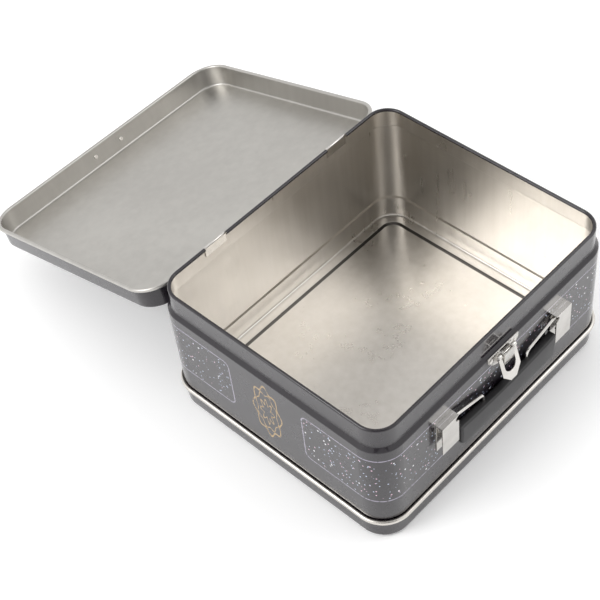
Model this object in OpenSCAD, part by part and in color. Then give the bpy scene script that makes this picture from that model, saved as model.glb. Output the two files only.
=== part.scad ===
// Tin lunch box with a hinged lid, a snap latch and a swinging bail handle.
// +X runs along the long sides, -Y is the latch side, +Y is the hinge side and +Z is up.
// The origin is the centre of the flat face that the box stands on.
// The lid is drawn as it would be closed, and then turned to where it hangs open.

/* [Body] */
// Length of the box, along the middle of its rim bead
rim_l = 205; // [190:1:225]
// Width of the box, along the middle of its rim bead
rim_w = 174; // [160:1:190]
// Corner radius of the rim bead's middle line
rim_r = 14.5; // [12:0.5:20]
// Height of the rim bead's middle line
rim_z = 103; // [98:0.5:112]
// Thickness of the tin sheet
sheet = 0.5; // [0.4:0.05:0.6]
// Radius of the rolled rim bead
bead_r = 1.2; // [1.0:0.05:1.3]
// Height of the bottom tray's rolled edge
tray_z = 17.5; // [15:0.5:18]

/* [Lid] */
// Depth of the lid, from the rolled edge's middle to the top face
lid_depth = 15.5; // [15.2:0.1:17]
// How far the open lid hangs below level, in degrees
lid_droop = 16; // [8:1:16]
// Distance of each hinge from the middle of the box
hinge_x = 55; // [45:1:65]

/* [Latch] */
// Length of the flap from its pin to its tip
flap_len = 21; // [20.5:0.5:23]
// How far the hanging flap stands out, in degrees
flap_lean = 16; // [5:1:20]

/* [Handle] */
// Distance of each bracket's middle from the middle of the box
bracket_x = 53.2; // [52:0.2:56]
// Half of the grip's length
grip_half = 44.5; // [40:0.5:45]
// Diameter of the bail wire
wire_d = 2.2; // [1.8:0.1:2.4]

/* [Hidden] */
$fn = 64;
slack = 0.05;             // running clearance in radius
neck_u = 1.2;             // outer faces, measured outwards from the rim bead's middle line
wall_u = 3.6;
low_neck_u = 2.9;
skirt_u = 3.5;            // outer face of the lid's skirt and of the bottom tray's skirt
shoulder_z = 88.9;        // top of the shoulder between the wall and the neck
shoulder_h = wall_u - neck_u;
step_z = 20.4;            // where the wall draws in to enter the tray
wall_foot_z = 3.4;
corner_r = 2.4;           // rounded edge between a skirt and its panel
tray_curl_r = 1.3;
tray_curl_u = 4.7;
ledge_z = 1.1;            // underside of the ledge round the floor
ledge_u = -4.5;           // where the ledge ends and the step down to the floor starts
floor_u = -6.1;
lid_curl_r = 1.2;
lid_curl_u = 4.6;
lid_curl_z = shoulder_z + 0.2 + lid_curl_r;
lid_top_z = lid_curl_z + lid_depth;
dimple_x = 48;            // clinch dimples that hold the tray on the wall
dimple_z = 11.2;
dimple_r = 1.3;

hinge_u = 5.6;            // hinge axis, outwards from the rim line on the hinge side
hinge_z = shoulder_z + 2.7;
knuckle_r = 1.9;
pin_r = 0.8;
strap_w = 18;
tongue_w = 9.4;
leaf_w = 20;
leaf_top_z = hinge_z + 9.6;
leaf_foot_z = hinge_z + 2.1;
strap_end_z = 96.3;       // lower edge of the strap's tab inside the rim
fold_z = rim_z - 0.1;
notch_w = strap_w + 0.4;
hinge_gap_w = 25;         // gap in the lid's rolled edge at each hinge
hinge_gap_z = hinge_z + 0.6;

metal = 0.8;              // thickness of the latch and bracket sheet
plate_half = 14;          // eye-shaped latch plate
plate_top_z = 87.6;
plate_low_z = 76;
plate_arc_r = 15.8;
plate_u = wall_u + metal;
latch_rivet_x = 10.6;
latch_rivet_z = 83.4;
housing_half = 4.6;
housing_top = [9.4, 87.2];
housing_foot = [8.5, 77];
flap_pin = [6.6, 85.3];   // outwards and up
flap_pin_r = 0.7;
flap_t = 0.9;
flap_half = 8;
flap_ear_r = 1.5;
flap_hole_half = 4.9;
flap_hole_end = 14.8;     // far end of the flap's opening, from its pin
rivet_r = 1.1;
rivet_head_r = 1.9;
rivet_head_h = 0.65;

striker_half = 15;
striker_low_z = 92.3;
striker_top_z = 101;
striker_rivet_x = 12.2;
striker_rivet_z = 96.9;
hook_half = 2.8;
hook_u = 8.2;
hook_low_z = 95.6;
hook_top_z = 98.6;

bracket_w = 14.6;
bracket_low_z = 49.5;
bracket_top_z = 74;
bracket_u = 9;            // outer face of the bracket's front
bracket_notch_r = 2.6;
bail_pin = [6.1, 70.4];   // bail axis, outwards and up
bearing_r = 2.1;
bearing_w = 5;
bracket_rivet_z = [54.5, 63];
wire_r = wire_d / 2;
grip_u = [4.3, 10.3];
grip_low_z = 41;
grip_top_z = 60;
grip_corner_r = 5;
grip_waist = 2.4;         // how far the finger edge dips at the middle
bail_side = [[bracket_x + 6.4, bail_pin[1]], [45, bail_pin[1]], [21, 64.4], [19.4, 50.5]];
bail_path = concat(bail_side, [for (i = [len(bail_side) - 1:-1:0]) [-bail_side[i][0], bail_side[i][1]]]);
bend_leg = 1.9;            // how far each squared bend reaches along its two runs
bend_extra = 0.1;          // how much fatter than the round rod a bend is
bend_overlap = 0.5;        // how deep a run goes into the bend
channel_half = 1.4;        // half width of the grip's channel for the bail's foot

// Sweeps a profile, drawn as outward offset and height, round the rim line.
module around() {
    for (side = [0:3]) {
        out = side % 2 == 0 ? rim_l / 2 : rim_w / 2;
        half = side % 2 == 0 ? rim_w / 2 : rim_l / 2;
        rotate([0, 0, 90 * side]) {
            translate([out, 0, 0]) rotate([90, 0, 0])
                linear_extrude(2 * (half - rim_r), center = true) children();
            translate([out - rim_r, half - rim_r, 0])
                rotate_extrude(angle = 90) translate([rim_r, 0]) children();
        }
    }
}

// A flat sheet with the rim line's outline, offset outwards by u.
module panel(u, z) {
    l = rim_l + 2 * u;
    w = rim_w + 2 * u;
    r = rim_r + u;
    translate([-l / 2, r - w / 2, z]) cube([l, w - 2 * r, sheet]);
    translate([r - l / 2, -w / 2, z]) cube([l - 2 * r, w, sheet]);
    for (sx = [-1, 1], sy = [-1, 1])
        translate([sx * (l / 2 - r), sy * (w / 2 - r), z]) cylinder(r = r, h = sheet);
}

// A quarter of a ring in the profile plane, for a rounded edge of the sheet.
module quarter(u, z, up) {
    intersection() {
        translate([u, z]) difference() {
            circle(corner_r);
            circle(corner_r - sheet);
        }
        translate([u, up ? z : z - corner_r]) square(corner_r);
    }
}

// Extrudes a profile of outward offset and height along X, on the hinge side.
module on_back(x, width) {
    translate([x, rim_w / 2, 0]) rotate([90, 0, 90])
        linear_extrude(width, center = true) children();
}

// The same on the latch side.
module on_front(x, width) {
    mirror([0, 1, 0]) on_back(x, width) children();
}

// A round bar along X on the latch side, from x - width / 2 to x + width / 2.
module bar_front(x, width, at, r) {
    on_front(x, width) translate(at) circle(r);
}

// A round hole or shank square to the latch side, from offset u0 to u1.
module across_front(x, z, u0, u1, r) {
    translate([x, -rim_w / 2 - u0, z]) rotate([90, 0, 0]) cylinder(r = r, h = u1 - u0);
}

// Turns what is drawn for the closed lid to the open lid's place.
module open_lid() {
    translate([0, rim_w / 2 + hinge_u, hinge_z]) rotate([-180 - lid_droop, 0, 0])
        translate([0, -rim_w / 2 - hinge_u, -hinge_z]) children();
}

module rivet_front(x, z, u_in, u_out) {
    across_front(x, z, u_in, u_out, rivet_r);
    across_front(x, z, u_in - rivet_head_h, u_in, rivet_head_r);
    across_front(x, z, u_out, u_out + rivet_head_h, rivet_head_r);
}

module bracket_rivet_places() {
    for (x = [-bracket_x, bracket_x], z = bracket_rivet_z) {
        $rx = x;
        $rz = z;
        children();
    }
}

module wall_profile() {
    translate([0, rim_z]) circle(bead_r);
    polygon([[neck_u, rim_z], [neck_u, shoulder_z], [wall_u, shoulder_z - shoulder_h],
             [wall_u, step_z], [low_neck_u, step_z - 1.6], [low_neck_u, wall_foot_z],
             [low_neck_u - sheet, wall_foot_z], [low_neck_u - sheet, step_z - 1.4],
             [wall_u - sheet, step_z + 0.2], [wall_u - sheet, shoulder_z - shoulder_h - 0.2],
             [neck_u - sheet, shoulder_z - 0.2], [neck_u - sheet, rim_z]]);
}

module dimple(sx, sy, r) {
    translate([sx * dimple_x, sy * (rim_w / 2 + low_neck_u), dimple_z]) sphere(r);
}

module body_wall() {
    color("dimgray") {
        difference() {
            around() wall_profile();
            for (x = [-hinge_x, hinge_x]) {
                on_back(x, notch_w) translate([-bead_r - 1, rim_z - bead_r - 0.3])
                    square([bead_r + 1 + neck_u - sheet, 2 * bead_r + 1]);
                on_back(x, notch_w) translate([-1, rim_z - 0.2]) square([3, 2]);
            }
            for (sx = [-1, 1])
                across_front(sx * latch_rivet_x, latch_rivet_z, 2, 4.5, rivet_r + slack);
            bracket_rivet_places() across_front($rx, $rz, 2, 4.5, rivet_r + slack);
        }
        intersection() {
            union() for (sx = [-1, 1], sy = [-1, 1]) dimple(sx, sy, dimple_r);
            cube([rim_l, rim_w + 2 * (low_neck_u - sheet / 2), 60], center = true);
        }
    }
}

module tray_profile() {
    translate([tray_curl_u, tray_z]) circle(tray_curl_r);
    translate([skirt_u - sheet, ledge_z + corner_r]) square([sheet, tray_z - ledge_z - corner_r]);
    quarter(skirt_u - corner_r, ledge_z + corner_r, false);
    translate([ledge_u, ledge_z]) square([skirt_u - corner_r - ledge_u, sheet]);
    polygon([[ledge_u, ledge_z], [ledge_u, ledge_z + sheet], [floor_u, sheet], [floor_u, 0]]);
}

module bottom_tray() {
    color("dimgray") difference() {
        union() {
            around() tray_profile();
            panel(floor_u, 0);
        }
        for (sx = [-1, 1], sy = [-1, 1])
            translate([0, sy * 1.7, 0]) dimple(sx, sy, dimple_r);
    }
}

module strap_profile() {
    mid_u = neck_u - sheet / 2;
    fold_r = 0.85;
    translate([mid_u, fold_z]) intersection() {
        difference() {
            circle(fold_r);
            circle(fold_r - sheet);
        }
        translate([-fold_r, 0]) square([2 * fold_r, fold_r]);
    }
    translate([mid_u + fold_r - sheet, hinge_z - knuckle_r])
        square([sheet, fold_z - hinge_z + knuckle_r]);
    translate([mid_u - fold_r, strap_end_z]) square([sheet, fold_z - strap_end_z]);
}

module knuckle(hole_r) {
    translate([hinge_u, hinge_z]) difference() {
        circle(knuckle_r);
        circle(hole_r);
    }
}

module hinge_strap(x) {
    color("silver") {
        on_back(x, strap_w) strap_profile();
        on_back(x, tongue_w) difference() {
            union() {
                knuckle(pin_r + slack);
                translate([neck_u + 0.2, hinge_z - knuckle_r])
                    square([hinge_u - neck_u - 0.2, sheet]);
            }
            translate([hinge_u, hinge_z]) circle(pin_r + slack);
        }
    }
}

module hinge_pin(x) {
    color("silver") on_back(x, leaf_w + 0.6) translate([hinge_u, hinge_z]) circle(pin_r);
}

module lid_profile() {
    translate([lid_curl_u, lid_curl_z]) circle(lid_curl_r);
    translate([skirt_u - sheet, lid_curl_z])
        square([sheet, lid_top_z - corner_r - lid_curl_z]);
    quarter(skirt_u - corner_r, lid_top_z - corner_r, true);
}

module lid_pan() {
    color("gainsboro") open_lid() difference() {
        union() {
            around() lid_profile();
            panel(skirt_u - corner_r, lid_top_z - sheet);
        }
        for (x = [-hinge_x, hinge_x])
            on_back(x, hinge_gap_w) translate([2, lid_curl_z - 3])
                square([5, hinge_gap_z - lid_curl_z + 3]);
        for (sx = [-1, 1])
            across_front(sx * striker_rivet_x, striker_rivet_z, 2, 4.5, rivet_r + slack);
    }
}

module lid_leaf(x) {
    knuckle_w = (leaf_w - tongue_w) / 2 - 0.3;
    color("silver") open_lid() {
        on_back(x, leaf_w) translate([skirt_u, leaf_foot_z])
            square([sheet, leaf_top_z - leaf_foot_z]);
        for (side = [-1, 1])
            on_back(x + side * (leaf_w - knuckle_w) / 2, knuckle_w) {
                knuckle(pin_r + slack);
                difference() {
                    translate([skirt_u, hinge_z]) square([sheet, leaf_foot_z - hinge_z]);
                    translate([hinge_u, hinge_z]) circle(pin_r + slack);
                }
            }
    }
}

module lid_striker() {
    color("silver") open_lid() {
        difference() {
            on_front(0, 2 * striker_half) translate([skirt_u, striker_low_z])
                square([metal, striker_top_z - striker_low_z]);
            for (sx = [-1, 1])
                across_front(sx * striker_rivet_x, striker_rivet_z, 3, 5, rivet_r + slack);
        }
        on_front(0, 2 * hook_half) {
            translate([skirt_u + metal / 2, hook_low_z]) square([hook_u - skirt_u - metal / 2, 1.6]);
            translate([hook_u - metal, hook_low_z]) square([metal, hook_top_z - hook_low_z]);
        }
    }
}

module striker_rivets() {
    color("gainsboro") open_lid() for (sx = [-1, 1])
        rivet_front(sx * striker_rivet_x, striker_rivet_z, skirt_u - sheet, skirt_u + metal);
}

module latch_base() {
    color("silver") difference() {
        union() {
            translate([0, -rim_w / 2 - wall_u, 0]) rotate([90, 0, 0]) linear_extrude(metal)
                intersection() {
                    translate([0, plate_low_z + plate_arc_r]) circle(plate_arc_r);
                    translate([-plate_half, plate_low_z])
                        square([2 * plate_half, plate_top_z - plate_low_z]);
                }
            difference() {
                on_front(0, 2 * housing_half)
                    polygon([[wall_u + metal / 2, housing_foot[1]], housing_foot, housing_top,
                             [wall_u + metal / 2, housing_top[1]]]);
                on_front(0, 2 * (housing_half - metal))
                    polygon([[plate_u, housing_foot[1] - 1], [housing_foot[0] - metal, housing_foot[1] - 1],
                             [housing_top[0] - metal, housing_top[1] + 1], [plate_u, housing_top[1] + 1]]);
            }
        }
        bar_front(0, 20, flap_pin, flap_pin_r + slack);
        for (sx = [-1, 1])
            across_front(sx * latch_rivet_x, latch_rivet_z, 3, 5, rivet_r + slack);
    }
}

module latch_pin() {
    color("silver") bar_front(0, 2 * flap_half + 0.4, flap_pin, flap_pin_r);
}

module latch_rivets() {
    color("gainsboro") for (sx = [-1, 1])
        rivet_front(sx * latch_rivet_x, latch_rivet_z, wall_u - sheet, plate_u);
}

module flap_outline() {
    tip_half = 2.6;
    shoulder = flap_len - 6;
    difference() {
        polygon([[-flap_half, 0], [flap_half, 0], [flap_half, -shoulder], [tip_half, -flap_len],
                 [-tip_half, -flap_len], [-flap_half, -shoulder]]);
        translate([-flap_hole_half, flap_hole_half - flap_hole_end])
            square([2 * flap_hole_half, flap_hole_end]);
        translate([0, flap_hole_half - flap_hole_end]) circle(flap_hole_half);
    }
}

module latch_flap() {
    ear_w = flap_half - flap_hole_half;
    color("silver") translate([0, -rim_w / 2 - flap_pin[0], flap_pin[1]])
        rotate([-flap_lean, 0, 0]) difference() {
            union() {
                translate([0, flap_t / 2, 0]) rotate([90, 0, 0])
                    linear_extrude(flap_t) flap_outline();
                for (side = [-1, 1])
                    translate([side * (flap_half - ear_w / 2), 0, 0]) rotate([0, 90, 0])
                        cylinder(r = flap_ear_r, h = ear_w, center = true);
            }
            rotate([0, 90, 0])
                cylinder(r = flap_pin_r + slack, h = 2 * flap_half + 2, center = true);
        }
}

module handle_bracket(side) {
    x = side * bracket_x;
    color("silver") {
        difference() {
            on_front(x, bracket_w) difference() {
                translate([wall_u, bracket_low_z])
                    square([bracket_u - wall_u, bracket_top_z - bracket_low_z]);
                translate([plate_u, bracket_low_z - 1])
                    square([bracket_u - plate_u - metal, bracket_top_z - bracket_low_z + 1 - metal]);
            }
            across_front(x - side * bracket_w / 2, bail_pin[1] + 0.6, plate_u + 0.2, 12,
                         bracket_notch_r);
            for (z = bracket_rivet_z) across_front(x, z, 3, 5, rivet_r + slack);
        }
        difference() {
            bar_front(x, bearing_w, bail_pin, bearing_r);
            bar_front(x, bearing_w + 2, bail_pin, wire_r + slack);
            on_front(x, bearing_w + 2) translate([0, 60]) square([wall_u + 0.1, 20]);
        }
    }
}

module handle_bracket_rivets() {
    color("gainsboro") bracket_rivet_places() rivet_front($rx, $rz, wall_u - sheet, plate_u);
}

function way(a, b) = (b - a) / norm(b - a);
function across(v) = [-v[1], v[0]];

// A squared bend at point b of a flat rod, with mitred corners.
module squared_bend(a, b, c, half) {
    first = way(a, b);
    second = way(b, c);
    mitre = half * (across(first) + across(second)) / (1 + first * second);
    linear_extrude(2 * half, center = true)
        polygon([
            b - bend_leg * first + half * across(first), b + mitre,
            b + bend_leg * second + half * across(second),
            b + bend_leg * second - half * across(second), b - mitre,
            b - bend_leg * first - half * across(first)
        ]);
}

// A round rod along a flat path, squared at its bends.
module bent_rod(path, r) {
    last = len(path) - 1;
    for (i = [1:last]) {
        run = path[i] - path[i - 1];
        start = i == 1 ? 0 : bend_leg - bend_overlap;
        end = i == last ? 0 : bend_leg - bend_overlap;
        translate(path[i - 1]) rotate([0, 0, atan2(run[1], run[0])]) translate([start, 0, 0])
            rotate([0, 90, 0]) cylinder(r = r, h = norm(run) - start - end);
    }
    for (i = [1:last - 1])
        squared_bend(path[i - 1], path[i], path[i + 1], r + bend_extra);
}

module handle_bail() {
    color("silver") translate([0, -rim_w / 2 - bail_pin[0], 0]) rotate([90, 0, 0])
        bent_rod(bail_path, wire_r);
}

function arc_points(centre, r, start, end, steps) =
    [for (i = [0:steps]) let (a = start + (end - start) * i / steps) centre + r * [cos(a), sin(a)]];

module grip_outline() {
    corner = [grip_half - grip_corner_r, grip_low_z + grip_corner_r];
    polygon(concat(
        arc_points([-corner[0], corner[1]], grip_corner_r, 180, 270, 8),
        arc_points(corner, grip_corner_r, 270, 360, 8),
        [for (i = [0:16]) let (t = 1 - i / 8) [grip_half * t, grip_top_z - grip_waist * (1 - t * t)]]
    ));
}

// The slot in the grip for the bail's foot, open at the finger edge.
module channel_outline() {
    foot = bail_side[3];
    top = bail_side[2];
    outer = channel_half;
    polygon([
        [-foot[0] - outer, foot[1] - outer], [foot[0] + outer, foot[1] - outer],
        [top[0] + outer, top[1]], [top[0] - outer, top[1]],
        [foot[0] - outer, foot[1] + outer], [-foot[0] + outer, foot[1] + outer],
        [-top[0] + outer, top[1]], [-top[0] - outer, top[1]]
    ]);
}

module handle_grip() {
    color("black") difference() {
        translate([0, -rim_w / 2 - grip_u[0], 0]) rotate([90, 0, 0])
            linear_extrude(grip_u[1] - grip_u[0]) grip_outline();
        translate([0, -rim_w / 2 - bail_pin[0], 0]) rotate([90, 0, 0])
            linear_extrude(2 * channel_half, center = true) channel_outline();
    }
}

body_wall();
bottom_tray();
hinge_strap(-hinge_x);  // hinge_strap_left
hinge_strap(hinge_x);  // hinge_strap_right
hinge_pin(-hinge_x);  // hinge_pin_left
hinge_pin(hinge_x);  // hinge_pin_right
latch_base();
latch_pin();
latch_rivets();
handle_bracket(-1);  // handle_bracket_left
handle_bracket(1);  // handle_bracket_right
handle_bracket_rivets();
lid_pan();
lid_leaf(-hinge_x);  // lid_leaf_left
lid_leaf(hinge_x);  // lid_leaf_right
lid_striker();
striker_rivets();
latch_flap();
handle_bail();
handle_grip();
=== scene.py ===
# %% [markdown]
# # Tin lunch box
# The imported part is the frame, and each new piece takes the place of a CAD node.
# +X runs along the long sides, -Y is the latch side, +Z is up, and the box stands on z = 0.
import bmesh
import bpy
import math
from mathutils import Matrix, Vector


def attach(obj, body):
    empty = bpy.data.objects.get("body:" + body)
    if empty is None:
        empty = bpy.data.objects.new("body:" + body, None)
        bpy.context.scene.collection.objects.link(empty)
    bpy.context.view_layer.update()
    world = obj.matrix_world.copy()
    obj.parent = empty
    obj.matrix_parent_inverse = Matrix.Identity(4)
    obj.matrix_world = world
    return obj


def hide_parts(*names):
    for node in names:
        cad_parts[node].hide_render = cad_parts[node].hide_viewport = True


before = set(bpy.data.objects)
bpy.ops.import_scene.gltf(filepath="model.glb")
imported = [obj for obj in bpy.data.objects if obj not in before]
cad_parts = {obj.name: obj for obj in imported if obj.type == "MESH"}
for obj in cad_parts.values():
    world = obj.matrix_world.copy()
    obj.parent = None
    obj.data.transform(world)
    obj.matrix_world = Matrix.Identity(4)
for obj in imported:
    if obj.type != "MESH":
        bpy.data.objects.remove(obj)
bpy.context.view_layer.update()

# %% [markdown]
# ## Shared sizes
# Millimetres. A sheet-metal box is drawn round a rounded rectangle, the middle line of its rim bead.
# u is the distance outwards from that line.

# %% sizes
MM = 0.001
RIM_L = 205.0
RIM_W = 174.0
RIM_R = 14.5
HALF_SHEET = 0.25
HINGE_X = 55.0          # each hinge, from the middle of the box
HINGE_Y = 92.6
HINGE_Z = 91.6
DROOP = 196.0
STRAIGHT_X = RIM_L / 2 - RIM_R
STRAIGHT_Y = RIM_W / 2 - RIM_R
FRONT = -RIM_W / 2
WELD = 2e-6             # metres: vertices closer than this are one
PANEL_AREA = 0.003      # square metres: a wider face is a flat panel
BEAD_R = 0.95           # middle line of the rolled rim
GRIP_DEPTH = 6.0
GRIP_NEAR = 4.3         # the grip's near face, outwards from the rim line
BAIL_U = 6.1            # the wire's middle, outwards from the rim line
WIRE_R = 1.1
HEAD_R = 1.9            # rivet heads
SHANK_R = 1.0
DOME_H = 0.65


# %% [markdown]
# ## Drawing a bent sheet
# A folded or rolled sheet is a line of straight runs with a small arc at each bend.
# It could be drawn as one thick sheet, but two skins, one for each face of the tin,
# let the printed side and the bare side have finishes of their own.

# %% path helpers
def arc(centre, radius, start, end, steps=10):
    """Points on an arc, angles in degrees."""
    angles = [math.radians(start + (end - start) * i / steps) for i in range(steps + 1)]
    return [Vector((centre[0] + radius * math.cos(a), centre[1] + radius * math.sin(a))) for a in angles]


def fillet(points, radius, steps=5):
    """The open line with each inner corner rounded."""
    points = [Vector(p) for p in points]
    line = [points[0]]
    for before, corner, after in zip(points, points[1:], points[2:]):
        one = (before - corner).normalized()
        two = (after - corner).normalized()
        reach = radius / math.tan(one.angle(two) / 2)
        reach = min(reach, 0.49 * (before - corner).length, 0.49 * (after - corner).length)
        start = corner + one * reach
        end = corner + two * reach
        for i in range(steps + 1):
            t = i / steps
            line.append(start.lerp(corner, t).lerp(corner.lerp(end, t), t))
    return line + [points[-1]]


def beside(line, distance):
    """The line moved sideways, to its right where distance is positive."""
    moved = []
    for i, point in enumerate(line):
        before = (point - line[max(i - 1, 0)]).normalized()
        after = (line[min(i + 1, len(line) - 1)] - point).normalized()
        way = (before + after).normalized()
        spread = max(0.5, (after if before.length == 0 else before).dot(way))
        moved.append(point + Vector((way.y, -way.x)) * distance / spread)
    return moved


# %% [markdown]
# ## Sweeping round the box
# The profile is spun round each corner and drawn out along each side, as a seaming machine would roll it.

# %% sweep
def shade(mesh, sharp=35):
    """Smooth, but sharp at steep edges and round each wide flat panel."""
    mesh.shade_smooth()
    mesh.set_sharp_from_angle(angle=math.radians(sharp))
    for face in mesh.polygons:
        if face.area > PANEL_AREA:
            face.use_smooth = False


def finish_mesh(name, bm, sharp=35):
    bmesh.ops.remove_doubles(bm, verts=bm.verts, dist=WELD)
    bmesh.ops.recalc_face_normals(bm, faces=bm.faces)
    mesh = bpy.data.meshes.new(name)
    bm.to_mesh(mesh)
    bm.free()
    shade(mesh, sharp)
    piece = bpy.data.objects.new(name, mesh)
    bpy.context.scene.collection.objects.link(piece)
    return piece


def sweep(name, loop, closed=True):
    """A closed skin from a profile of (u, z) points. An open profile is capped across the box."""
    bm = bmesh.new()
    verts = [bm.verts.new((STRAIGHT_X * MM, (FRONT - p[0]) * MM, p[1] * MM)) for p in loop]
    pairs = list(zip(verts, verts[1:]))
    if closed:
        pairs.append((verts[-1], verts[0]))
    geom = verts + [bm.edges.new(p) for p in pairs]
    sides = [((1, -1), (0, 2 * STRAIGHT_Y)), ((1, 1), (-2 * STRAIGHT_X, 0)),
             ((-1, 1), (0, -2 * STRAIGHT_Y)), ((-1, -1), (2 * STRAIGHT_X, 0))]
    for corner, run in sides:
        centre = Vector((corner[0] * STRAIGHT_X, corner[1] * STRAIGHT_Y, 0)) * MM
        geom = bmesh.ops.spin(bm, geom=geom, cent=centre, axis=(0, 0, 1), angle=math.pi / 2,
                              steps=14)["geom_last"]
        edges = [g for g in geom if isinstance(g, bmesh.types.BMEdge)]
        geom = bmesh.ops.extrude_edge_only(bm, edges=edges)["geom"]
        moved = [g for g in geom if isinstance(g, bmesh.types.BMVert)]
        bmesh.ops.translate(bm, verts=moved, vec=Vector((run[0], run[1], 0)) * MM)
        geom = moved + [g for g in geom if isinstance(g, bmesh.types.BMEdge)
                        and all(v in moved for v in g.verts)]
    bmesh.ops.remove_doubles(bm, verts=bm.verts, dist=WELD)
    if not closed:
        bmesh.ops.edgeloop_fill(bm, edges=[e for e in bm.edges if e.is_boundary])
    return finish_mesh(name, bm)


def skins(name, line, closed, outward=1):
    """The outer and the inner skin of a sheet with this middle line.

    outward is -1 where the line's left is outside."""
    pieces = []
    for side, suffix in ((HALF_SHEET * outward, "outer"), (-HALF_SHEET * outward, "inner")):
        pieces.append(sweep(name + "_" + suffix, line + beside(line, side)[::-1], closed))
    return pieces


def block(name, low, high):
    """A plain box, for cutting."""
    bm = bmesh.new()
    bmesh.ops.create_cube(bm, size=1)
    size = Vector(high) - Vector(low)
    bmesh.ops.scale(bm, verts=bm.verts, vec=size * MM)
    bmesh.ops.translate(bm, verts=bm.verts, vec=(Vector(low) + size / 2) * MM)
    return finish_mesh(name, bm)


def carve(piece, boxes):
    """Cuts the boxes, each (low, high), out of the piece."""
    for low, high in boxes:
        cutter = block("cutter", low, high)
        cut = piece.modifiers.new("cut", "BOOLEAN")
        cut.operation = "DIFFERENCE"
        cut.solver = "MANIFOLD"
        cut.object = cutter
        seen = piece.evaluated_get(bpy.context.evaluated_depsgraph_get())
        mesh = bpy.data.meshes.new_from_object(seen)
        piece.modifiers.clear()
        bm = bmesh.new()
        bm.from_mesh(mesh)
        bmesh.ops.remove_doubles(bm, verts=bm.verts, dist=1e-6)
        bmesh.ops.dissolve_degenerate(bm, edges=bm.edges, dist=1e-6)
        bmesh.ops.recalc_face_normals(bm, faces=bm.faces)
        bm.to_mesh(mesh)
        bm.free()
        shade(mesh)
        piece.data = mesh
        bpy.data.objects.remove(cutter)


# %% [markdown]
# ## Body wall
# One strip of printed tin goes round the box. It is drawn in at the top, where the lid slides over,
# and its edge is rolled inwards into a bead. At the bottom it is drawn in to enter the tray.
# Two skins swept round the rim give both faces, and notches let the hinge straps clamp the bead.

# %% body wall
wall_line = fillet([(2.65, 3.4), (2.65, 18.7), (3.35, 20.3), (3.35, 86.5),
                    (BEAD_R, 88.9), (BEAD_R, 102.9)], 1.0)
wall_line += arc((0, 103), BEAD_R, 0, 285, 22)
wall_outer, wall_inner = skins("wall", wall_line, True)
strap_notches = [((x - 9.2, 85.2, 101.5), (x + 9.2, 90, 105)) for x in (-HINGE_X, HINGE_X)]
for wall in (wall_outer, wall_inner):
    carve(wall, strap_notches)
print("wall", len(wall_outer.data.polygons), len(wall_inner.data.polygons))

# %% [markdown]
# ## Bottom tray
# A drawn pan closes the box from below, with its rim rolled outwards so that the bare side shows.
# The floor stands a little lower than the ledge round it, which stiffens it.

# %% bottom tray
tray_line = fillet([(-6.1, 0.25), (-4.5, 1.35), (3.25, 1.35), (3.25, 8.0)], 2.0, 8)
tray_line += arc((4.5, 17.25), 1.25, 180, -110, 22)
tray_outer, tray_inner = skins("tray", tray_line, False)
print("tray", len(tray_outer.data.polygons))

# %% [markdown]
# ## Lid
# The lid is a shallow drawn pan. It is made closed, with two gaps in its rolled edge for the hinges,
# and is then turned back to where it hangs open.

# %% lid
lid_line = fillet([(-12.0, 105.55), (3.25, 105.55), (3.25, 95.0)], 2.15, 10)
lid_line += arc((4.4, 90.45), 1.15, 180, 470, 22)
lid_outer, lid_inner = skins("lid", lid_line, False, -1)
lid_gaps = [((x - 12.5, 88.9, 88), (x + 12.5, 94, 92.2)) for x in (-HINGE_X, HINGE_X)]
hinge = Vector((0, HINGE_Y, HINGE_Z)) * MM
swing = Matrix.Rotation(math.radians(-DROOP), 4, "X")
opened = Matrix.Translation(hinge) @ swing @ Matrix.Translation(-hinge)
for lid in (lid_outer, lid_inner):
    carve(lid, lid_gaps)
    lid.data.transform(opened)
print("lid", len(lid_outer.data.polygons), [round(v, 4) for v in lid_outer.bound_box[0]])


# %% [markdown]
# ## Bail wire
# A nickel-plated steel wire is bent to reach from one bracket to the other through the grip.
# The CAD squares its bends, so a smooth round wire with small bend arcs takes its place.

# %% bail wire
def wire(name, line, radius, sides=20):
    """A round wire along an open line of points in space, with flat ends."""
    bm = bmesh.new()
    before = None
    for i, point in enumerate(line):
        way = (line[min(i + 1, len(line) - 1)] - line[max(i - 1, 0)]).normalized()
        side = Vector((0, 1, 0))
        up = way.cross(side)
        turns = [2 * math.pi * k / sides for k in range(sides)]
        ring = [bm.verts.new((point + (side * math.cos(t) + up * math.sin(t)) * radius) * MM) for t in turns]
        if before is None:
            bm.faces.new(ring)
        else:
            for k in range(sides):
                bm.faces.new((before[k], before[k - 1], ring[k - 1], ring[k]))
        before = ring
    bm.faces.new(before)
    return finish_mesh(name, bm)


bail_half = [(59.6, 70.4), (45, 70.4), (21, 64.4), (19.4, 50.5)]
bail_flat = fillet(bail_half + [(-x, z) for x, z in bail_half[::-1]], 4.0, 8)
bail = wire("bail_wire", [Vector((p.x, FRONT - BAIL_U, p.y)) for p in bail_flat], WIRE_R)
print("bail", len(bail.data.polygons))

# %% [markdown]
# ## Grip
# The grip is a moulded plastic slab with softened edges. Its finger edge dips a little at the middle.
# The outline is drawn flat, thickened, and its rims are rounded as the mould would.

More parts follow.
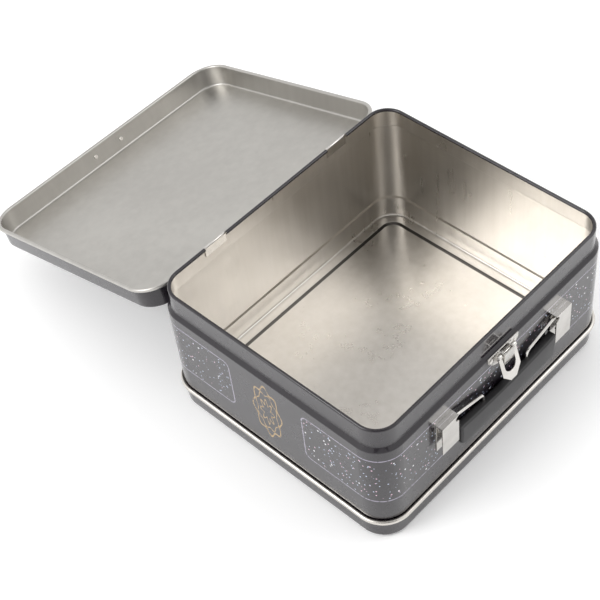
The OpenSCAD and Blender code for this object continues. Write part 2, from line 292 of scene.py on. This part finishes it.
# %% grip
GRIP_HALF = 44.5
GRIP_WAIST = 2.4
GRIP_TOP = 60.0
GRIP_CORNER = 5.0
GRIP_CORNER_Z = 46.0
dip_steps = 24
outline = arc((GRIP_CORNER - GRIP_HALF, GRIP_CORNER_Z), GRIP_CORNER, 180, 270, 10)
outline += arc((GRIP_HALF - GRIP_CORNER, GRIP_CORNER_Z), GRIP_CORNER, 270, 360, 10)
for k in range(dip_steps + 1):
    along = 1 - 2 * k / dip_steps
    outline.append(Vector((GRIP_HALF * along, GRIP_TOP - GRIP_WAIST * (1 - along * along))))
bm = bmesh.new()
ring = [bm.verts.new((p.x * MM, (FRONT - GRIP_NEAR) * MM, p.y * MM)) for p in outline]
face = bm.faces.new(ring)
thick = bmesh.ops.extrude_face_region(bm, geom=[face])["geom"]
far = [g for g in thick if isinstance(g, bmesh.types.BMVert)]
bmesh.ops.translate(bm, verts=far, vec=(0, -GRIP_DEPTH * MM, 0))
rims = [e for e in bm.edges if abs(e.verts[0].co.y - e.verts[1].co.y) < 1e-6]
bmesh.ops.bevel(bm, geom=rims, offset=1.6 * MM, offset_type="OFFSET", segments=5, profile=0.5,
                affect="EDGES", clamp_overlap=True, material=-1)
grip = finish_mesh("grip", bm, 50)
print("grip", len(grip.data.polygons))


# %% [markdown]
# ## Rivets
# Domed rivets hold the latch, the striker and the brackets. Each is spun from a short half profile,
# so its dome catches a round highlight that the CAD's plain heads don't give.

# %% rivets
def rivets(name, places, inside, outside, turn=None):
    """Domed rivets that point out of the front. places are (x, z); inside and outside are u."""
    bm = bmesh.new()
    for x, z in places:
        profile = [(0.0, inside - 0.6), (1.5, inside - 0.6), (1.7, inside - 0.3), (1.7, inside),
                   (SHANK_R, inside), (SHANK_R, outside), (HEAD_R, outside)]
        profile += [(HEAD_R * math.cos(a), outside + DOME_H * math.sin(a))
                    for a in (math.radians(15 * k) for k in range(1, 6))]
        profile += [(0.0, outside + DOME_H)]
        points = [bm.verts.new(((x + r) * MM, (FRONT - u) * MM, z * MM)) for r, u in profile]
        edges = [bm.edges.new(p) for p in zip(points, points[1:])]
        bmesh.ops.spin(bm, geom=points + edges, cent=Vector((x, FRONT, z)) * MM, axis=(0, 1, 0),
                       angle=2 * math.pi, steps=28, use_merge=True)
    bmesh.ops.remove_doubles(bm, verts=bm.verts, dist=1e-6)
    if turn is not None:
        bmesh.ops.transform(bm, matrix=turn, verts=bm.verts)
    return finish_mesh(name, bm, 40)


bracket_places = [(s * 53.2, z) for s in (-1, 1) for z in (54.5, 63)]
latch_rivets = rivets("latch_rivet_heads", [(-10.6, 83.4), (10.6, 83.4)], 3.1, 4.4)
bracket_rivets = rivets("bracket_rivet_heads", bracket_places, 3.1, 4.4)
striker_rivets = rivets("striker_rivet_heads", [(-12.2, 96.9), (12.2, 96.9)], 3.0, 4.3, opened)


# %% [markdown]
# ## Shader sums
# A material's pattern is written as a sum of values. Each value wraps one socket.

# %% shader values
class Val:
    """One shader value, with arithmetic that adds Math nodes."""

    def __init__(self, tree, socket):
        self.tree = tree
        self.socket = socket

    def put(self, node, index, value):
        if isinstance(value, Val):
            self.tree.links.new(value.socket, node.inputs[index])
        else:
            node.inputs[index].default_value = value

    def node(self, kind, settings=None, inputs=None, output=0):
        made = self.tree.nodes.new(kind)
        for key, value in (settings or {}).items():
            setattr(made, key, value)
        for key, value in (inputs or {}).items():
            self.put(made, key, value)
        return Val(self.tree, made.outputs[output])

    def math(self, operation, *values):
        return self.node("ShaderNodeMath", {"operation": operation}, dict(enumerate(values)))

    def __add__(self, other):
        return self.math("ADD", self, other)

    def __sub__(self, other):
        return self.math("SUBTRACT", self, other)

    def __mul__(self, other):
        return self.math("MULTIPLY", self, other)

    def __truediv__(self, other):
        return self.math("DIVIDE", self, other)

    def __rsub__(self, other):
        return self.math("SUBTRACT", other, self)

    def __rtruediv__(self, other):
        return self.math("DIVIDE", other, self)

    __radd__ = __add__
    __rmul__ = __mul__

    def low(self, other):
        return self.math("MINIMUM", self, other)

    def high(self, other):
        return self.math("MAXIMUM", self, other)

    def size(self):
        return self.math("ABSOLUTE", self)

    def root(self):
        return self.math("SQRT", self)

    def step(self, start, end):
        """0 below start and 1 above end, smooth between. Start may be the larger."""
        return self.node("ShaderNodeMapRange", {"interpolation_type": "SMOOTHSTEP"},
                         {0: self, 1: start, 2: end, 3: 0.0, 4: 1.0})

    def mix(self, low, high):
        """Between two colours by this value."""
        return self.node("ShaderNodeMix", {"data_type": "RGBA"}, {0: self, 6: low, 7: high}, 2)

    def noise(self, scale, detail=3.0, stretch=(1, 1, 1), output=0):
        spread = self.node("ShaderNodeVectorMath", {"operation": "MULTIPLY"}, {0: self, 1: stretch})
        return spread.node("ShaderNodeTexNoise", {},
                           {"Vector": spread, "Scale": scale, "Detail": detail}, output)


def material(name, **constants):
    """A material with its principled shader, and the object's own coordinates as values."""
    made = bpy.data.materials.new(name)
    made.use_nodes = True
    shader = made.node_tree.nodes["Principled BSDF"]
    for key, value in constants.items():
        shader.inputs[key.replace("_", " ")].default_value = value
    tree = made.node_tree
    place = Val(tree, tree.nodes.new("ShaderNodeTexCoord").outputs["Object"])
    split = tree.nodes.new("ShaderNodeSeparateXYZ")
    tree.links.new(place.socket, split.inputs[0])
    axes = [Val(tree, split.outputs[i]) * 1000.0 for i in range(3)]
    return made, shader, place, axes


def drive(shader, name, value):
    value.tree.links.new(value.socket, shader.inputs[name])


def bump(shader, height, distance, strength=0.5):
    made = height.node("ShaderNodeBump", {}, {"Height": height, "Distance": distance, "Strength": strength})
    drive(shader, "Normal", made)


# %% [markdown]
# ## Printed tin
# Glossy black enamel over lithographed tin. Two framed panels wrap the front and the back,
# filled with fine white, blue and pink specks, and a gilt ornament stands at the middle of each end.
# The pattern follows the object's own coordinates, so it stays put as the box moves.

# %% printed tin
def printed(name, with_panels):
    made, shader, place, (x, y, z) = material(
        name, Coat_Weight=0.75, Coat_Roughness=0.03, Coat_IOR=1.45, Specular_IOR_Level=0.35)
    mottle = place.noise(60, 4)
    colour = mottle.mix((0.006, 0.004, 0.006, 1), (0.016, 0.012, 0.018, 1))
    if with_panels:
        across = y.size() - 29.5
        corner = 4.5
        qx = (corner - across)
        qz = (z - 58.5).size() - (20.0 - corner)
        out_x = qx.high(0.0)
        out_z = qz.high(0.0)
        distance = (out_x * out_x + out_z * out_z).root() + qx.high(qz).low(0.0) - corner
        worn = place.noise(700, 2).step(0.25, 0.5)
        line = distance.size().step(0.55, 0.3) * worn
        cells = {"feature": "F1"}
        inside = distance.step(-1.0, -1.6)
        for scale, reach, tint in ((330, 0.2, (0.55, 0.62, 0.8, 1)), (230, 0.15, (0.75, 0.5, 0.62, 1)),
                                   (170, 0.13, (0.9, 0.9, 0.92, 1))):
            near = place.node("ShaderNodeTexVoronoi", cells, {"Vector": place, "Scale": scale})
            speck = near.step(reach, reach * 0.5) * inside
            colour = speck.mix(colour, tint)
        colour = (line * 0.85).mix(colour, (0.36, 0.33, 0.42, 1))
        petal_y = y / 12.5
        petal_z = (z - 56.5) / 26.0
        radius = (petal_y * petal_y + petal_z * petal_z).root()
        turn = petal_z.math("ARCTAN2", petal_y, petal_z)
        wave = (turn * 8.0).math("COSINE", turn * 8.0)
        on_end = x.size().step(101.5, 102.5)
        gilt = 0.0
        for middle, swing, half in ((0.86, 0.08, 0.045), (0.66, -0.05, 0.03), (0.36, 0.1, 0.05)):
            edge = (radius - middle - wave * swing).size()
            gilt = edge.step(half, half * 0.55) + gilt
        gilt = gilt.low(1.0) * on_end * worn
        colour = (gilt * 0.9).mix(colour, (0.42, 0.27, 0.1, 1))
    drive(shader, "Base Color", colour)
    drive(shader, "Roughness", place.noise(90, 4) * 0.12 + 0.22)
    bump(shader, place.noise(45, 2), 0.0004, 0.12)
    return made


printed_wall = printed("printed_wall", True)
printed_plain = printed("printed_plain", False)


# %% [markdown]
# ## Bare tin, nickel and plastic
# The inside is bare tinplate with rolling streaks and grey stains, and a near-black ring of painted shade
# round the tray floor. The hardware is polished nickel with fine scuffs. The grip is dark plastic with a
# fine grain and a little handling shine.

# %% metal and plastic
def bare(name, low, high, rough):
    made, shader, place, (x, y, z) = material(name, Metallic=1.0, IOR=2.0)
    streak = place.noise(160, 5, (1, 1, 0.06))
    cloud = place.noise(14, 4)
    spots = place.noise(420, 2).step(0.72, 0.8)
    tone = (streak * 0.55 + cloud * 0.6 - 0.1).step(0.2, 0.8)
    colour = tone.mix(low, high)
    colour = (spots * 0.12).mix(colour, (0.2, 0.17, 0.14, 1))
    # Painted shade: tin_inside gets a near-black ring on the step between the tray floor and the ledge round
    # it.
    if name == "tin_inside":
        out_x = (x.size() - STRAIGHT_X).high(0.0)
        out_y = (y.size() - STRAIGHT_Y).high(0.0)
        u = (out_x * out_x + out_y * out_y).root() - RIM_R
        painted_groove_shade = u.step(-6.6, -6.1) * u.step(-4.3, -4.7) * z.step(3.0, 2.5)
        colour = (painted_groove_shade * 0.93).mix(colour, (0.02, 0.017, 0.014, 1))
    drive(shader, "Base Color", colour)
    drive(shader, "Roughness", tone * 0.1 + place.noise(35, 3) * 0.12 + rough)
    bump(shader, place.noise(30, 2) + streak * 0.15, 0.0006, 0.12)
    return made


tin_inside = bare("tin_inside", (0.62, 0.59, 0.545, 1), (0.74, 0.71, 0.67, 1), 0.2)
tin_lid = bare("tin_lid", (0.46, 0.445, 0.42, 1), (0.55, 0.535, 0.505, 1), 0.28)

nickel, shader, place, axes = material("nickel_plate", Metallic=1.0)
drive(shader, "Base Color", place.noise(120, 4).mix((0.50, 0.48, 0.45, 1), (0.78, 0.76, 0.73, 1)))
drive(shader, "Roughness", place.noise(300, 4) * 0.16 + 0.04)
bump(shader, place.noise(350, 3), 0.0001, 0.25)

plastic, shader, place, axes = material("grip_black")
drive(shader, "Base Color", place.noise(200, 4).mix((0.008, 0.008, 0.009, 1), (0.022, 0.021, 0.022, 1)))
drive(shader, "Roughness", place.noise(60, 4) * 0.2 + 0.28)
bump(shader, place.noise(900, 2), 0.0001, 0.3)

# %% [markdown]
# ## Who rides on what
# Each piece gets its finish, its body, its slot and the CAD nodes that it stands for.

# %% assign
plan = [
    (wall_outer, "box", "printed_tin", printed_wall, ("body_wall",)),
    (wall_inner, "box", "bare_tin", tin_inside, ("body_wall",)),
    (tray_outer, "box", "printed_tin", printed_plain, ("bottom_tray",)),
    (tray_inner, "box", "bare_tin", tin_inside, ("bottom_tray",)),
    (lid_outer, "lid", "printed_tin", printed_plain, ("lid_pan",)),
    (lid_inner, "lid", "bare_tin", tin_lid, ("lid_pan",)),
    (bail, "handle", "nickel", nickel, ("handle_bail",)),
    (grip, "handle", "grip_plastic", plastic, ("handle_grip",)),
    (latch_rivets, "box", "nickel", nickel, ("latch_rivets",)),
    (bracket_rivets, "box", "nickel", nickel, ("handle_bracket_rivets",)),
    (striker_rivets, "lid", "nickel", nickel, ("striker_rivets",)),
]
replaced = set()
for piece, body, slot, finish, nodes in plan:
    piece.data.materials.clear()
    piece.data.materials.append(finish)
    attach(piece, body)
    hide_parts(*nodes)
    replaced.update(nodes)
for name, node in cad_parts.items():
    if name in replaced:
        continue
    node.data.materials.clear()
    node.data.materials.append(nickel)
    weld = node.modifiers.new("weld", "WELD")
    weld.merge_threshold = WELD / 2
    soft = node.modifiers.new("soft", "BEVEL")
    soft.width = 0.12 * MM
    soft.segments = 2
    soft.limit_method = "ANGLE"
    soft.angle_limit = math.radians(40)
    soft.harden_normals = True
    print("kept", name)

# %% [markdown]
# ## Studio
# A white floor and white surroundings, with one soft lamp high on the left and a weaker one behind.
# The black enamel mirrors them, which is why it reads as grey.

# %% studio
bm = bmesh.new()
bmesh.ops.create_grid(bm, x_segments=1, y_segments=1, size=3.0)
floor = finish_mesh("floor", bm)
paper, shader, place, axes = material(
    "floor_paper", Roughness=0.9, Emission_Color=(1, 1, 1, 1), Emission_Strength=0.14)
drive(shader, "Base Color", place.noise(4, 2).mix((0.93, 0.93, 0.93, 1), (0.97, 0.97, 0.97, 1)))
floor.data.materials.append(paper)

world = bpy.data.worlds.new("studio_white")
world.use_nodes = True
world.node_tree.nodes["Background"].inputs[0].default_value = (1, 1, 1, 1)
world.node_tree.nodes["Background"].inputs[1].default_value = 1.0
bpy.context.scene.world = world


def lamp(name, place, size, power):
    light = bpy.data.lights.new(name, "AREA")
    light.shape = "SQUARE"
    light.size = size
    light.energy = power
    made = bpy.data.objects.new(name, light)
    made.location = place
    made.rotation_euler = (Vector((0, 0, 0.05)) - Vector(place)).to_track_quat("-Z", "Y").to_euler()
    bpy.context.scene.collection.objects.link(made)


def card(name, place, width, tone):
    """A cloth hung out of the picture, for the metal to mirror."""
    bm = bmesh.new()
    bmesh.ops.create_grid(bm, x_segments=1, y_segments=1, size=width / 2)
    turn = (Vector((0, 0, 0.05)) - Vector(place)).to_track_quat("Z", "Y").to_matrix().to_4x4()
    bmesh.ops.transform(bm, matrix=Matrix.Translation(place) @ turn, verts=bm.verts)
    made = finish_mesh(name, bm)
    cloth, shader, where, axes = material(name + "_cloth", Roughness=1.0)
    drive(shader, "Base Color",
          where.noise(6, 3).mix((tone, tone, tone, 1), (tone * 1.3, tone * 1.2, tone * 1.1, 1)))
    made.data.materials.append(cloth)
    made.visible_camera = False
    made.visible_shadow = False


lamp("key_lamp", (-1.3, 0.5, 1.3), 0.8, 14)
lamp("side_lamp", (1.0, -0.8, 1.3), 0.8, 4)
card("camera_side", (-0.62, -0.70, 1.12), 1.0, 0.05)
card("far_side", (0.75, 1.0, 1.35), 0.6, 0.3)

# %% [markdown]
# ## Camera

# %% camera
AZIMUTH = -40.961
ELEVATION = 49.017
ROLL = -7.760
lens = bpy.data.cameras.new("camera")
lens.lens = 85.48
lens.sensor_width = 36
lens.clip_start = 0.01
lens.dof.use_dof = False
camera = bpy.data.objects.new("camera", lens)
turned = (Matrix.Rotation(math.radians(AZIMUTH), 4, "Z")
          @ Matrix.Rotation(math.radians(90 - ELEVATION), 4, "X")
          @ Matrix.Rotation(math.radians(ROLL), 4, "Z"))
camera.matrix_world = Matrix.Translation((-0.41521, -0.39872, 0.73217)) @ turned
bpy.context.scene.collection.objects.link(camera)
bpy.context.scene.camera = camera
bpy.context.scene.view_settings.view_transform = "Standard"
